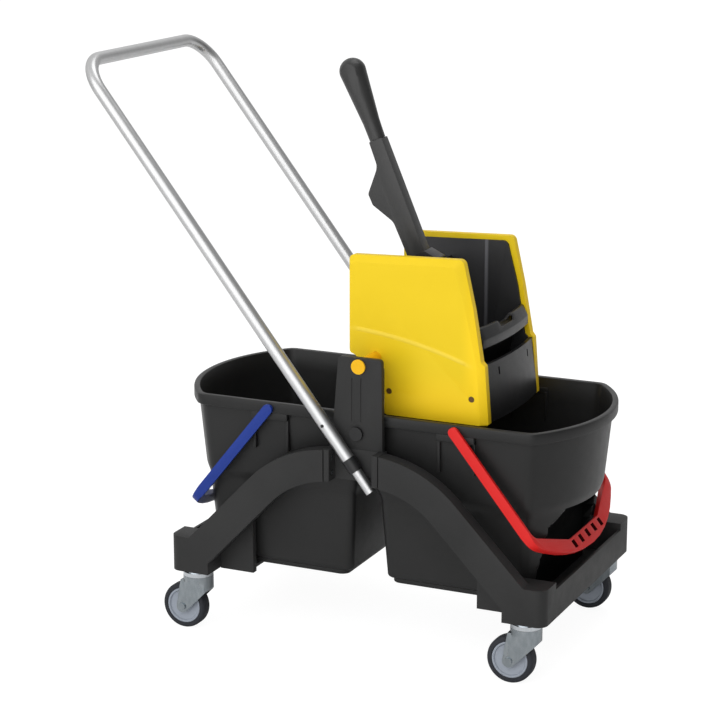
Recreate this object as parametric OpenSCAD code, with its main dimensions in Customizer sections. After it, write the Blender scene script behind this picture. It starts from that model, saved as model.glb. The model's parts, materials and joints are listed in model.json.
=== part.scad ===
// Double mop bucket trolley with a lever wringer.
// X runs along the trolley, Y across it, Z up. The origin is on the floor under the middle of the chassis.

/* [Casters] */
// Diameter of a wheel over its tyre
wheel_d = 80; // [72:1:90]
// Width of a wheel over its tyre
wheel_w = 24; // [20:1:28]
// Thickness of the tyre
tyre_t = 9; // [6:0.5:11]
// Diameter of the axle bolt
axle_d = 8; // [6:0.5:10]
// How far the wheel trails behind the king pin
caster_trail = 24; // [20:1:28]
// Diameter of the king pin
king_pin_d = 12; // [10:0.5:14]
// Thickness of the fork's sheet metal
fork_plate = 2.5; // [2:0.5:4]
// Diameter of the swivel race
swivel_d = 52; // [46:1:56]
// King pin to the end of the chassis
caster_inset_x = 40; // [32:1:48]
// King pin to the side of the chassis
caster_inset_y = 27; // [22:1:34]

/* [Chassis] */
// Length over the end walls
chassis_l = 680; // [600:1:760]
// Width over the side arches
chassis_w = 432; // [380:1:480]
// Thickness of a side arch
arch_t = 26; // [22:1:28]
// Height of the arch band
arch_h = 54; // [46:1:62]
// Outer radius of the arch's shoulder
arch_r = 215; // [190:1:240]
// Slope of the arch's legs in degrees
arch_slope = 46; // [44:0.5:48]
// Middle of the trolley to the seam between bridge and half frame
seam_x = 50; // [46:1:60]
// Length of a corner post
post_l = 73; // [68:1:80]
// Width of a corner post
post_w = 53; // [48:1:56]
// Height of a corner post
post_h = 62; // [56:1:66]
// Radius of a post's outer corner
post_r = 18; // [10:1:28]
// Height of the end wall
end_wall_h = 50; // [40:1:55]
// Wall thickness of the frame mouldings
frame_wall = 5; // [4:0.5:6]
// Length of the tray that carries a bucket's outer end
tray_l = 135; // [115:1:155]

/* [Bridge and brackets] */
// Half thickness of the wall between the buckets
bridge_half = 9; // [6:0.5:12]
// Height of the seat for the bucket rims above the arch
seat_rise = 39; // [36:1:50]
// Depth of the handle recess in the bridge's side blocks
recess_depth = 25; // [22:0.5:28]
// Thickness of a wringer bracket
bracket_t = 10; // [8:0.5:12]
// Height of a bracket above the middle of its crossbar
bracket_head = 14.5; // [12.5:0.5:24]
// Width of a bracket at its top
bracket_w = 77; // [70:1:84]
// Diameter of the crossbar that carries the wringer
crossbar_d = 20; // [16:0.5:22]
// Height of the crossbar above the arch
crossbar_rise = 139.5; // [125:0.5:155]
// Diameter of the crossbar's end caps
cap_d = 24.5; // [23:0.5:28]
// Height of the lower bracket bolt above the arch
bracket_bolt_rise = 26.5; // [22:0.5:30]
// Diameter of the lower bracket bolt
bracket_bolt_d = 8; // [6:0.5:10]

/* [Handle] */
// Outer diameter of the handle tube
handle_d = 22; // [19:0.5:25]
// Wall of the handle tube
handle_wall = 1.6; // [1.2:0.1:2]
// Length from the handle's foot to the middle of its crossbar
handle_l = 845; // [700:1:950]
// Lean of the handle from upright in degrees
handle_lean = 37.95; // [34:0.05:40]
// Bend radius of the handle's corners
handle_bend_r = 57; // [45:1:80]
// Gap round the stubs inside the handle tube
stub_gap = 0.65; // [0.4:0.05:1]
// Length of stub inside the handle tube
stub_in = 190; // [160:1:240]
// Length of a handle collar
collar_l = 24; // [20:1:30]
// Length of stub that shows below the collar
stub_show = 42; // [38:1:48]
// Diameter of the pin hole in the handle tube
pin_hole_d = 5; // [4:0.5:6]

/* [Buckets] */
// Height of a bucket
bucket_h = 297; // [265:1:330]
// Gap between a bucket's rim and the brackets
bucket_side_gap = 2.5; // [2:0.5:8]
// Wall thickness
bucket_wall = 3.5; // [3:0.25:4.5]
// Height of the rim band
rim_h = 18; // [16:0.5:24]
// How far the rim stands out of the wall
rim_out = 9.5; // [9:0.25:10]
// Taper of each side from rim to base
side_draft = 21; // [18:1:26]
// Taper of the inner end from rim to base
inner_draft = 17; // [14:1:22]
// Taper of the outer end from rim to base
end_draft = 28; // [25:1:32]
// Gap between a bucket and the end wall of the chassis
bucket_end_gap = 2.5; // [2:0.5:12]
// Radius of the bowed end wall
end_bow_r = 252; // [230:1:300]
// Height of the shoulder in the walls above the base
shoulder_z = 155; // [140:1:165]
// Depth of that shoulder
shoulder_in = 4; // [3:0.5:6]
// Depth of the tipping recess from the end of the base
recess_in = 48; // [40:1:54]
// Height of the tipping recess above the base
tip_recess_h = 152; // [120:1:154]

/* [Bails] */
// Bail pivot from the middle of the trolley
bail_x = 167; // [150:1:185]
// Width of a bail strap
bail_w = 17; // [14:0.5:20]
// Thickness of a bail strap
bail_t = 6; // [4:0.5:6.5]
// Gap between the grip and the end of the rim as the bail swings past it
bail_swing_gap = 48.5; // [46:0.5:60]
// Width of the grip
grip_w = 29.5; // [26:0.5:33]
// Hang of the bail below level in degrees
bail_hang = 51; // [47:0.5:55]
// Diameter of a bail stud
bail_stud_d = 12; // [9:0.5:13]

/* [Wringer] */
// Half width over the covers
wringer_half_w = 124; // [112:1:136]
// Half width of the space between the side walls
mouth_half_w = 105; // [94:0.5:110]
// Crossbar to the rear of the covers
wringer_back = 50; // [44:1:56]
// Crossbar to the lower front corner
wringer_front = 198.5; // [182:0.5:216]
// Crossbar to the upper front corner
wringer_top_front = 151; // [138:0.5:164]
// Depth of the wringer below the crossbar
wringer_drop = 95; // [86:0.5:104]
// Height of the covers above the crossbar at the rear
wringer_top = 168; // [152:1:184]
// Wall thickness of the covers
cover_wall = 3.5; // [2.5:0.25:4.5]
// Depth of the bevel on the covers' front and top
cover_bevel_t = 6; // [4:0.5:8]
// Width of the rim the covers show round the mouth
cover_lip = 8.5; // [7:0.5:11]
// Width of the bevel on the covers' front and top
cover_bevel = 12; // [9:0.5:14]
// Thickness of the body's side walls
side_wall_t = 6; // [4:0.5:8]
// Outward bow radius of the apron and jaw
apron_bow_r = 735; // [600:5:900]
// Thickness of the front jaw
jaw_t = 5; // [4:0.5:6]

/* [Press] */
// Crossbar to the press shaft, along the trolley
shaft_x = 114.5; // [104:0.5:125]
// Press shaft below the crossbar
shaft_drop = 57.5; // [52:0.5:63]
// Diameter of the press shaft
shaft_d = 12; // [10:0.5:13]
// Lean of the lever from upright in degrees
lever_lean = 22.4; // [18:0.1:26]
// Gap between the press plate and the lined side walls
press_side_gap = 2; // [1:0.5:6]
// Thickness of the press plate
press_t = 12; // [9:0.5:14]
// Width of the lever across the trolley
lever_w = 24.5; // [21:0.5:28]
// Shaft to the joint between lever arm and grip
lever_l = 432; // [380:1:480]
// Length of the lever's grip
lever_grip_l = 142; // [130:1:155]
// Largest diameter of the lever's grip
lever_grip_d = 45; // [40:0.5:48]

/* [Hidden] */
$fn = 48;

// Colours
charcoal = "#3c3d3d";
black = "#262727";
yellow = "#f5dc3c";
red = "#d93a32";
blue = "#3a63b4";
steel = "#c3c7ca";
alloy = "#d2d4d6";
grey = "#8f949b";
tyre_grey = "#6b6f76";

// Clearances
running = 0.06;  // shaft in a bore that turns on it
snug = 0.02;     // round parts that are fixed together
slide_gap = 0.3; // faces that pass each other
seat_gap = 0.2;  // flat parts let into one another
tiny = 0.01;     // slab thickness for lofted walls
over = 1;        // how far a cut runs past a face

// Caster heights
wheel_r = wheel_d / 2;
wheel_room = 6;
crown_t = 3;
race_h = 9;
cup_h = 9.7;
crown_z = wheel_d + wheel_room;
race_z = crown_z + crown_t;
cup_z = race_z + race_h + slide_gap;
deck_z = cup_z + cup_h;
pin_head_d = king_pin_d + 6;
pin_head_h = 3.5;
pin_in_post = 44;
fork_gap = 2.5;
fork_half = wheel_w / 2 + fork_gap + fork_plate;
fork_boss_r = 11;
fork_nose = 10;
hub_side_gap = 1;
rim_r = wheel_r - tyre_t;

// Bucket heights
tray_drop = 5;
tray_z = deck_z + tray_drop;
bucket_z = tray_z + frame_wall;
rim_top = bucket_z + bucket_h;
rim_z = rim_top - rim_h;
shoulder_top = bucket_z + shoulder_z;

// Chassis places
half_l = chassis_l / 2;
half_w = chassis_w / 2;
arch_in = half_w - arch_t;
arch_top = rim_z - seat_rise;
arch_rise = arch_top - deck_z;
arch_start_x = 30;
arch_centre_z = arch_top - arch_r;
post_x = half_l - post_l;
post_top = deck_z + post_h;
tray_x = half_l - tray_l;
cheek_out = 48.5;
cheek_t = 12;
cheek_drop = 7;
cheek_y = half_w - cheek_out;
stem_x = half_l - caster_inset_x;
stem_y = half_w - caster_inset_y;
seam_boss = 14;
screw_d = 5;
screw_head_d = 9;
screw_head_h = 4;
screw_in = 13;
screw_hole_l = screw_in + seat_gap;
screw_edge = 14;

// Bridge places
recess_y = half_w - recess_depth;
block_in = recess_y - bracket_t;
bridge_z = arch_top - arch_h;
crossbar_x = 3.5;
crossbar_z = arch_top + crossbar_rise;
bracket_h = crossbar_rise + bracket_head;
bracket_bolt_z = arch_top + bracket_bolt_rise;
bracket_lean = 2;
bracket_foot_x0 = -15;
bracket_foot_x1 = 46;
bracket_wing_x = -42;
bracket_wing_rise = 45;

// Bucket places
bucket_half_w = block_in - bucket_side_gap - rim_out;
rim_half_w = bucket_half_w + rim_out;
bucket_in_x = bridge_half + 2;
rim_gap = 1.5;
rim_bow_out = -1;
end_wall_top = deck_z + end_wall_h;
end_taper = end_draft * (rim_z - end_wall_top) / (rim_z - bucket_z);
bucket_reach = half_l - frame_wall - bucket_end_gap + end_taper + shoulder_in;
rim_end_x = bucket_reach + rim_out + rim_bow_out;
tip_in_top = 81;
tip_in_mid = 51;
tip_in_low = 33;
tip_slope_h = 27;
bail_z = rim_top - rim_h / 2 - 2;
bail_reach = rim_end_x - bail_x + bail_swing_gap + grip_w;
bail_neck_l = 80;
bail_taper_l = 40;
bail_taper_r = 20;
bail_corner_r = 24;
bail_inner_r = 18;
grip_half = 5;
grip_slot_pitch = 31.5;
grip_slot_w = 12;
grip_slot_l = grip_w - 15.5;

// Handle places
handle_foot_x = 24.3;
handle_foot_drop = arch_h + 4;
handle_foot_z = arch_top - handle_foot_drop;
stub_d = handle_d - 2 * handle_wall - 2 * stub_gap;
collar_over = 0.8;
collar_r = handle_d / 2 + collar_over;
handle_y = half_w - recess_depth + collar_r + slide_gap;
stub_end = -11;
collar_s = stub_end + stub_show;
tube_in_collar = 5;
tube_s = collar_s + tube_in_collar;
pin_hole_rise = 87;
pin_hole_s = tube_s + pin_hole_rise;
handle_bolt_s = 15;
handle_bolt_d = 6;
saddle_w = 14;
recess_gap = 4;
handle_top_x = handle_foot_x - handle_foot_drop * tan(handle_lean);
recess_x0 = handle_top_x - handle_d / 2 / cos(handle_lean) - recess_gap;
recess_x1 = 38;

// Wringer places, all counted from the crossbar
bore_gap = 0.08;
wr_z = crossbar_z;
heel_gap = 5;
wr_heel_x = bucket_in_x + bucket_wall + heel_gap - crossbar_x;
wr_bottom = wr_z - wringer_drop;
wr_rear_lift = 6.5;
wr_rear_step = 13;
wr_knee_in = 8;
wr_knee_z = 3;
wr_knee_step = [6, 6];
wr_bulge = [28.5, 92.5];
wr_top_rise = 7;
hinge_wall = 5;
hinge_r = crossbar_d / 2 + hinge_wall;
wr_lip_z = -hinge_r - 0.5;
liner_t = 4;
liner_x = 101.5;
apron_out = 8;
bow_centre_x = crossbar_x + wringer_front + apron_out - apron_bow_r;
rear_screw_in = 8;
rear_screw_low = 54.5;
front_screw_in = 28.4;
front_screw_low = 52.4;
cover_screw_at = [
    [wr_heel_x + rear_screw_in, -rear_screw_low],
    [wringer_front - front_screw_in, -front_screw_low]];
cover_screw_d = 5;
cover_screw_head = 10;

// Press places; u runs up the lever from the shaft
press_x = crossbar_x + shaft_x;
press_z = wr_z - shaft_drop;
press_half_w = mouth_half_w - liner_t - press_side_gap;
hub_r = shaft_d / 2 + 8;
spring_l = 13;
spring_gap = 0.5;
spring_end = 2.5;
hub_half = press_half_w - spring_l - spring_gap - spring_end;
lever_bolt_d = 8;
lever_bolt_u = [150, 196];
lever_bolt_v = -press_t / 2 - 8;
lever_foot_u = 125;
lever_back = -20;
lever_front = 12;
socket_wall = 5;
socket_back_u = 227;
socket_front_u = 232;
socket_nose_u = 212;
socket_nose = 20;
lever_spigot_d = 14;
lever_spigot_l = 40;
bump_drop_h = 90;
bump_out_h = 29;
bump_top_h = 42;
bump_face_h = 10;
bump_foot_h = 48;
bump_foot_out = 3;
lever_neck_h = 40;
lever_top_back = -14.5;
lever_top_front = 9.5;
grip_off = -3;

// Helpers

function unit(v) = v / norm(v);
function xy(p) = [p[0], p[1]];

// Points of one rounded corner; p is [x, y, radius]
function corner(a, p, b) = p[2] == 0 ? [xy(p)] :
    let (u = unit(xy(a) - xy(p)), v = unit(xy(b) - xy(p)), half = acos(u * v) / 2,
         c = xy(p) + unit(u + v) * p[2] / sin(half), t = p[2] / tan(half),
         s = xy(p) + u * t - c, e = xy(p) + v * t - c,
         a0 = atan2(s[1], s[0]), turn = atan2(e[1], e[0]) - a0,
         d = turn > 180 ? turn - 360 : turn < -180 ? turn + 360 : turn, n = 6)
    [for (k = [0:n]) c + p[2] * [cos(a0 + d * k / n), sin(a0 + d * k / n)]];

// Outline with rounded corners from points [x, y, radius]
function rounded(pts) = let (n = len(pts))
    [for (i = [0:n - 1]) each corner(pts[(i + n - 1) % n], pts[i], pts[(i + 1) % n])];

// Move every edge of an anticlockwise outline inwards by d, radii kept

// A slab between two places across the trolley, from an outline in X and Z
module slab_y(y0, y1) {
    translate([0, y1, 0])
        rotate([90, 0, 0])
            linear_extrude(y1 - y0)
                children();
}

// A rod across the trolley
module rod_y(x, z, d, y0, y1) {
    translate([x, y0, z])
        rotate([-90, 0, 0])
            cylinder(d = d, h = y1 - y0);
}

// A rod along the trolley
module rod_x(y, z, d, x0, x1) {
    translate([x0, y, z])
        rotate([0, 90, 0])
            cylinder(d = d, h = x1 - x0);
}

module both_sides() {
    children();
    mirror([0, 1, 0])
        children();
}

// Half frames

function arch_arc(r, x0, n = 14) = let (a0 = asin((x0 - arch_start_x) / r))
    [for (k = [0:n]) let (a = a0 + (arch_slope - a0) * k / n)
        [arch_start_x + r * sin(a), arch_centre_z + r * cos(a)]];

// Height of the straight leg of the arch at x, for the edge of radius r
function leg_z(r, x) = arch_centre_z + r * cos(arch_slope)
    - (x - arch_start_x - r * sin(arch_slope)) * tan(arch_slope);
function leg_x(r, z) = arch_start_x + r * sin(arch_slope)
    + (arch_centre_z + r * cos(arch_slope) - z) / tan(arch_slope);
function backwards(pts) = [for (i = [len(pts) - 1:-1:0]) pts[i]];

arch_ri = arch_r - arch_h;

module arch_outline() {
    polygon(concat(
        arch_arc(arch_r, seam_x),
        [[leg_x(arch_r, post_top), post_top], [half_l, post_top], [half_l, deck_z],
         [post_x, deck_z], [post_x, leg_z(arch_ri, post_x)]],
        backwards(arch_arc(arch_ri, seam_x))));
}

// The hollow behind the arch's face, between stiffening ribs
module arch_pocket() {
    x0 = seam_x + seam_boss;
    ro = arch_r - frame_wall;
    ri = arch_ri + frame_wall;
    rib_pitch = 48;
    difference() {
        polygon(concat(
            arch_arc(ro, x0),
            [[post_x, leg_z(ro, post_x)], [post_x - frame_wall, leg_z(ri, post_x - frame_wall)]],
            backwards(arch_arc(ri, x0))));
        for (x = [x0 + rib_pitch:rib_pitch:post_x])
            translate([x, 0])
                square([frame_wall, arch_top]);
    }
}

module cheek_outline() {
    polygon([
        [tray_x, tray_z - cheek_drop], [post_x + over, tray_z - cheek_drop],
        [post_x + over, leg_z(arch_ri, post_x) + frame_wall],
        [tray_x, leg_z(arch_ri, tray_x) + frame_wall]]);
}

module post_corner_cut() {
    translate([half_l - post_r, -half_w, deck_z - over])
        difference() {
            translate([0, -over, 0])
                cube([post_r + over, post_r + over, arch_rise]);
            translate([0, post_r, -over])
                cylinder(r = post_r, h = arch_rise + 2 * over);
        }
}

function seam_screw_z() = [bridge_z + screw_edge, arch_top - screw_edge];

module half_frame() {
    color(charcoal)
        difference() {
            union() {
                both_sides()
                    slab_y(-half_w, -arch_in)
                        arch_outline();
                both_sides()
                    translate([post_x, -half_w, deck_z])
                        cube([post_l, post_w, post_h]);
                translate([half_l - frame_wall, post_w - half_w - over, deck_z])
                    cube([frame_wall, chassis_w - 2 * post_w + 2 * over, end_wall_h]);
                translate([tray_x, -cheek_y + cheek_t / 2, tray_z])
                    cube([tray_l - frame_wall / 2, 2 * cheek_y - cheek_t, frame_wall]);
                both_sides()
                    slab_y(-cheek_y, -cheek_y + cheek_t)
                        cheek_outline();
            }
            both_sides()
                slab_y(-half_w + frame_wall, -arch_in + over)
                    arch_pocket();
            both_sides()
                post_corner_cut();
            both_sides()
                translate([stem_x, -stem_y, deck_z - over])
                    cylinder(d = king_pin_d + 2 * snug, h = pin_in_post + over + seat_gap);
            both_sides()
                for (z = seam_screw_z())
                    rod_x(-half_w + arch_t / 2, z, screw_d + 2 * snug, seam_x - over, seam_x + screw_hole_l);
        }
}

module frame_right() {
    half_frame();
}

module frame_left() {
    mirror([1, 0, 0])
        half_frame();
}

// Bridge between the half frames

module centre_bridge() {
    color(charcoal)
        difference() {
            union() {
                both_sides()
                    translate([-seam_x, -half_w, bridge_z])
                        difference() {
                            cube([2 * seam_x, half_w - block_in, arch_h]);
                            translate([seam_x + recess_x0, -over, -over])
                                cube([recess_x1 - recess_x0, recess_depth + over, arch_h + 2 * over]);
                            for (x = [-over, 2 * seam_x - seam_line_w])
                                translate([x, -over, -over])
                                    cube([seam_line_w + over, seam_line_d + over, arch_h + 2 * over]);
                        }
                translate([-bridge_half, -block_in, bridge_z])
                    cube([2 * bridge_half, 2 * block_in, rim_z - bridge_z]);
                translate([-bridge_half, -block_in - over, bridge_z])
                    cube([2 * bridge_half, 2 * block_in + 2 * over, arch_h]);
                both_sides()
                    stub_saddle();
            }
            both_sides()
                stub_cut();
            both_sides()
                handle_bolt(2 * snug);
            both_sides()
                for (z = seam_screw_z(), side = [-1, 1])
                    seam_screw(side, z, 2 * snug);
            both_sides()
                rod_y(0, bracket_bolt_z, bracket_bolt_d + 2 * snug, -block_in - over, -block_in + bolt_hole_l);
        }
}

seam_line_w = 2;
seam_line_d = 3;
bolt_in = 32;
bolt_hole_l = bolt_in + seat_gap;

// One screw through a pad of the bridge into the end of a half frame
module seam_screw(side, z, gap) {
    y = -half_w + arch_t / 2;
    x_in = side > 0 ? recess_x1 : recess_x0;
    mirror([side > 0 ? 0 : 1, 0, 0]) {
        rod_x(y, z, screw_d + gap, abs(x_in), seam_x + screw_in);
        rod_x(y, z, screw_head_d + gap, abs(x_in) - (gap > 0 ? over : 0), abs(x_in) + screw_head_h);
    }
}

module frame_screws() {
    color(black)
        both_sides()
            for (z = seam_screw_z(), side = [-1, 1])
                seam_screw(side, z, 0);
}

// Wringer brackets

bracket_outline = rounded([
    [bracket_wing_x, arch_top + bracket_wing_rise, 6],
    [bracket_foot_x0, arch_top, 0], [bracket_foot_x1, arch_top, 0],
    [crossbar_x + bracket_lean + bracket_w / 2, arch_top + bracket_h, 7],
    [crossbar_x + bracket_lean - bracket_w / 2, arch_top + bracket_h, 7]]);

module bracket() {
    groove_w = 3;
    groove_d = 1.2;
    groove_x = 8;
    groove_end = 8;
    groove_z0 = bracket_bolt_z + cap_d / 2 + groove_end;
    groove_z1 = crossbar_z - cap_d / 2 - groove_end;
    color(charcoal)
        difference() {
            slab_y(-recess_y, -block_in)
                polygon(bracket_outline);
            rod_y(crossbar_x, crossbar_z, crossbar_d + 2 * snug, -recess_y - over, -block_in + over);
            rod_y(0, bracket_bolt_z, bracket_bolt_d + 2 * snug, -recess_y - over, -block_in + over);
            for (side = [-1, 1])
                translate([side * groove_x - groove_w / 2, -recess_y - over, groove_z0])
                    cube([groove_w, groove_d + over, groove_z1 - groove_z0]);
        }
}

module bracket_near() {
    bracket();
}

module bracket_far() {
    mirror([0, 1, 0])
        bracket();
}

bolt_head_h = 2.5;
bolt_head_d = bracket_bolt_d + 6;
bolt_cap_d = 23;
bolt_cap_h = 4.5;

module bracket_bolts() {
    color(steel)
        both_sides() {
            rod_y(0, bracket_bolt_z, bracket_bolt_d, -recess_y - over, -block_in + bolt_in);
            rod_y(0, bracket_bolt_z, bolt_head_d, -recess_y - bolt_head_h, -recess_y);
        }
}

module bracket_bolt_caps() {
    head_y = -recess_y - bolt_head_h - seat_gap;
    color(black)
        both_sides()
            difference() {
                rod_y(0, bracket_bolt_z, bolt_cap_d, -recess_y - bolt_cap_h, -recess_y);
                rod_y(0, bracket_bolt_z, bolt_head_d + 2 * snug, head_y, -recess_y + over);
            }
}

crossbar_wall = 2;
cap_h = 3;
cap_plug_l = 12;

module wringer_crossbar() {
    color(yellow)
        difference() {
            rod_y(crossbar_x, crossbar_z, crossbar_d, -recess_y, recess_y);
            rod_y(crossbar_x, crossbar_z, crossbar_d - 2 * crossbar_wall, -recess_y - over, recess_y + over);
        }
}

module crossbar_caps() {
    plug_d = crossbar_d - 2 * crossbar_wall - 2 * snug;
    color(yellow)
        both_sides() {
            rod_y(crossbar_x, crossbar_z, cap_d, -recess_y - cap_h, -recess_y);
            rod_y(crossbar_x, crossbar_z, plug_d, -recess_y - over, -recess_y + cap_plug_l);
        }
}

// Push handle: its own Z runs up along the tubes

module in_handle() {
    translate([handle_foot_x, 0, handle_foot_z])
        rotate([0, -handle_lean, 0])
            children();
}

module stub_rod(d, s0, s1) {
    in_handle()
        translate([0, -handle_y, s0])
            cylinder(d = d, h = s1 - s0);
}

// Cradle that the stub is bolted to, inside the recess
module stub_saddle() {
    s0 = handle_bolt_s - saddle_w / 2;
    in_handle()
        translate([-saddle_w / 2, -handle_y, s0])
            cube([saddle_w, handle_y - recess_y + over, saddle_w]);
}

module stub_cut() {
    stub_rod(stub_d + 2 * snug, stub_end - over, collar_s);
}

handle_bolt_head_h = 4;
handle_bolt_in = 6;

// One bolt through the bridge's block into the stub
module handle_bolt(gap) {
    p = [handle_foot_x - handle_bolt_s * sin(handle_lean), handle_foot_z + handle_bolt_s * cos(handle_lean)];
    y_in = -handle_y + stub_d / 2 - handle_bolt_in;
    rod_y(p[0], p[1], handle_bolt_d + gap, y_in, -block_in + (gap > 0 ? over : 0));
}

module handle_bolts() {
    p = [handle_foot_x - handle_bolt_s * sin(handle_lean), handle_foot_z + handle_bolt_s * cos(handle_lean)];
    color(black)
        both_sides() {
            handle_bolt(0);
            rod_y(p[0], p[1], handle_bolt_d, -block_in - over, -block_in + over);
            rod_y(p[0], p[1], handle_bolt_d + 4, -block_in, -block_in + handle_bolt_head_h);
        }
}

module handle_stubs() {
    color(alloy)
        both_sides()
            difference() {
                stub_rod(stub_d, stub_end, tube_s + stub_in);
                handle_bolt(2 * snug);
            }
}

module handle_path(d, s0) {
    leg = handle_l - handle_bend_r;
    both_sides() {
        translate([0, -handle_y, s0])
            cylinder(d = d, h = leg - s0);
        translate([0, handle_y - handle_bend_r, leg])
            rotate([90, 0, 90])
                rotate_extrude(angle = 90)
                    translate([handle_bend_r, 0])
                        circle(d = d);
    }
    translate([0, handle_bend_r - handle_y, handle_l])
        rotate([-90, 0, 0])
            cylinder(d = d, h = 2 * (handle_y - handle_bend_r));
}

module handle_tube() {
    color(alloy)
        in_handle()
            difference() {
                handle_path(handle_d, tube_s);
                handle_path(handle_d - 2 * handle_wall, tube_s - over);
                both_sides()
                    translate([0, -handle_y - handle_d, pin_hole_s])
                        rotate([-90, 0, 0])
                            cylinder(d = pin_hole_d, h = handle_d);
            }
}

module handle_collars() {
    color(black)
        in_handle()
            both_sides()
                translate([0, -handle_y, collar_s])
                    difference() {
                        cylinder(r = collar_r, h = collar_l);
                        translate([0, 0, -over])
                            cylinder(d = stub_d + 2 * running, h = collar_l + 2 * over);
                        translate([0, 0, tube_s - collar_s])
                            cylinder(d = handle_d + 2 * snug, h = collar_l);
                    }
}

// Casters: [X side, Y side]
near_left = [-1, -1];
near_right = [1, -1];
far_left = [-1, 1];
far_right = [1, 1];
corners = [near_left, near_right, far_left, far_right];

module at_caster(c) {
    translate([c[0] * stem_x, c[1] * stem_y, 0])
        children();
}

module king_pins() {
    color(steel)
        for (c = corners)
            at_caster(c) {
                translate([0, 0, crown_z - slide_gap - pin_head_h])
                    cylinder(d = pin_head_d, h = pin_head_h);
                translate([0, 0, crown_z - slide_gap - over])
                    cylinder(d = king_pin_d, h = deck_z + pin_in_post - crown_z + slide_gap + over);
            }
}

module swivel_cups() {
    lip_h = 3;
    lip_out = 3;
    color(steel)
        for (c = corners)
            at_caster(c)
                translate([0, 0, cup_z])
                    difference() {
                        union() {
                            cylinder(d = swivel_d - 2 * lip_out, h = cup_h);
                            cylinder(d = swivel_d, h = cup_h - lip_h);
                        }
                        translate([0, 0, -over])
                            cylinder(d = king_pin_d + 2 * snug, h = cup_h + 2 * over);
                    }
}

module fork(c) {
    front = swivel_d / 2;
    web_x = front - 2 * fork_plate;
    slot_half = wheel_w / 2 + fork_gap;
    side = [
        [-front, race_z], [-caster_trail - fork_boss_r, wheel_r], [-caster_trail, wheel_r],
        [-caster_trail + fork_boss_r * cos(45), wheel_r - fork_boss_r * sin(45)],
        [front, crown_z - fork_nose], [front, race_z]];
    color(steel)
        at_caster(c)
            difference() {
                union() {
                    intersection() {
                        union() {
                            slab_y(-fork_half, fork_half)
                                polygon(side);
                            rod_y(-caster_trail, wheel_r, 2 * fork_boss_r, -fork_half, fork_half);
                        }
                        union() {
                            cylinder(d = swivel_d, h = race_z);
                            translate([-caster_trail - fork_boss_r - over, -fork_half, 0])
                                cube([caster_trail + fork_boss_r + over, 2 * fork_half, race_z]);
                        }
                    }
                    translate([0, 0, crown_z])
                        cylinder(d = swivel_d, h = crown_t + race_h);
                }
                translate([-caster_trail - front - over, -slot_half, -over])
                    cube([caster_trail + front + over + web_x, 2 * slot_half, crown_z + over]);
                rod_y(-caster_trail, wheel_r, axle_d + 2 * snug, -fork_half - over, fork_half + over);
                cylinder(d = king_pin_d + 2 * running, h = deck_z);
            }
}

module axle(c) {
    head_h = 3;
    head_d = axle_d + 5;
    color(steel)
        at_caster(c) {
            rod_y(-caster_trail, wheel_r, axle_d, -fork_half - over, fork_half + over);
            both_sides()
                rod_y(-caster_trail, wheel_r, head_d, -fork_half - head_h, -fork_half);
        }
}

module at_wheel(c) {
    at_caster(c)
        translate([-caster_trail, 0, wheel_r])
            rotate([-90, 0, 0])
                children();
}

module wheel(c) {
    hub_half_w = wheel_w / 2 + fork_gap - hub_side_gap;
    hub_out = axle_d / 2 + 6;
    band_in = rim_r - 5;
    band_half = wheel_w / 2 - 2;
    web_half = 5;
    bore = axle_d / 2 + running;
    color(grey)
        at_wheel(c)
            rotate_extrude()
                polygon([
                    [bore, -hub_half_w], [hub_out, -hub_half_w], [hub_out, -web_half], [band_in, -web_half],
                    [band_in, -band_half], [rim_r, -band_half], [rim_r, band_half], [band_in, band_half],
                    [band_in, web_half], [hub_out, web_half], [hub_out, hub_half_w], [bore, hub_half_w]]);
}

module tyre(c) {
    shoulder = 5;
    half = wheel_w / 2;
    color(tyre_grey)
        at_wheel(c)
            rotate_extrude()
                polygon(rounded([
                    [rim_r + snug, -half, 0], [wheel_r, -half, shoulder],
                    [wheel_r, half, shoulder], [rim_r + snug, half, 0]]));
}

// Buckets, drawn for the right-hand side

// Plan of a wall that reaches from x_in to x_out, y_half wide on each side
function bucket_plan(x_in, y_half, x_out, bow, r_in = 14, r_out = 22, n = 10) =
    let (a = asin(y_half / bow), xc = x_out - bow)
    rounded(concat(
        [[x_in, -y_half, r_in], [xc + bow * cos(a), -y_half, r_out]],
        [for (k = [1:n - 1]) let (b = -a + 2 * a * k / n) [xc + bow * cos(b), bow * sin(b), 0]],
        [[xc + bow * cos(a), y_half, r_out], [x_in, y_half, r_in]]));

// Plan at height z, moved in by d
function bucket_at(z, d) = let (t = (rim_z - z) / (rim_z - bucket_z))
    bucket_plan(bucket_in_x + inner_draft * t + d, bucket_half_w - side_draft * t - d,
                bucket_reach - end_draft * t - d, end_bow_r - side_draft * t - d);

module bucket_loft(z0, z1, d) {
    hull() {
        translate([0, 0, z0])
            linear_extrude(tiny)
                polygon(bucket_at(z0, d));
        translate([0, 0, z1 - tiny])
            linear_extrude(tiny)
                polygon(bucket_at(z1, d));
    }
}

// Outline of the tipping recess in the end wall, grown by g
module tip_recess(g) {
    half_top = bucket_half_w - tip_in_top + g;
    half_mid = bucket_half_w - tip_in_mid + g;
    half_low = bucket_half_w - tip_in_low + g;
    top = tip_recess_h + g;
    mid = tip_recess_h - tip_slope_h + g;
    x0 = bucket_reach - end_draft - recess_in - g;
    translate([x0, 0, bucket_z])
        rotate([90, 0, 90])
            linear_extrude(bucket_reach)
                polygon([
                    [-half_low, -over], [half_low, -over], [half_mid, mid], [half_top, top],
                    [-half_top, top], [-half_mid, mid]]);
}

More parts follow.
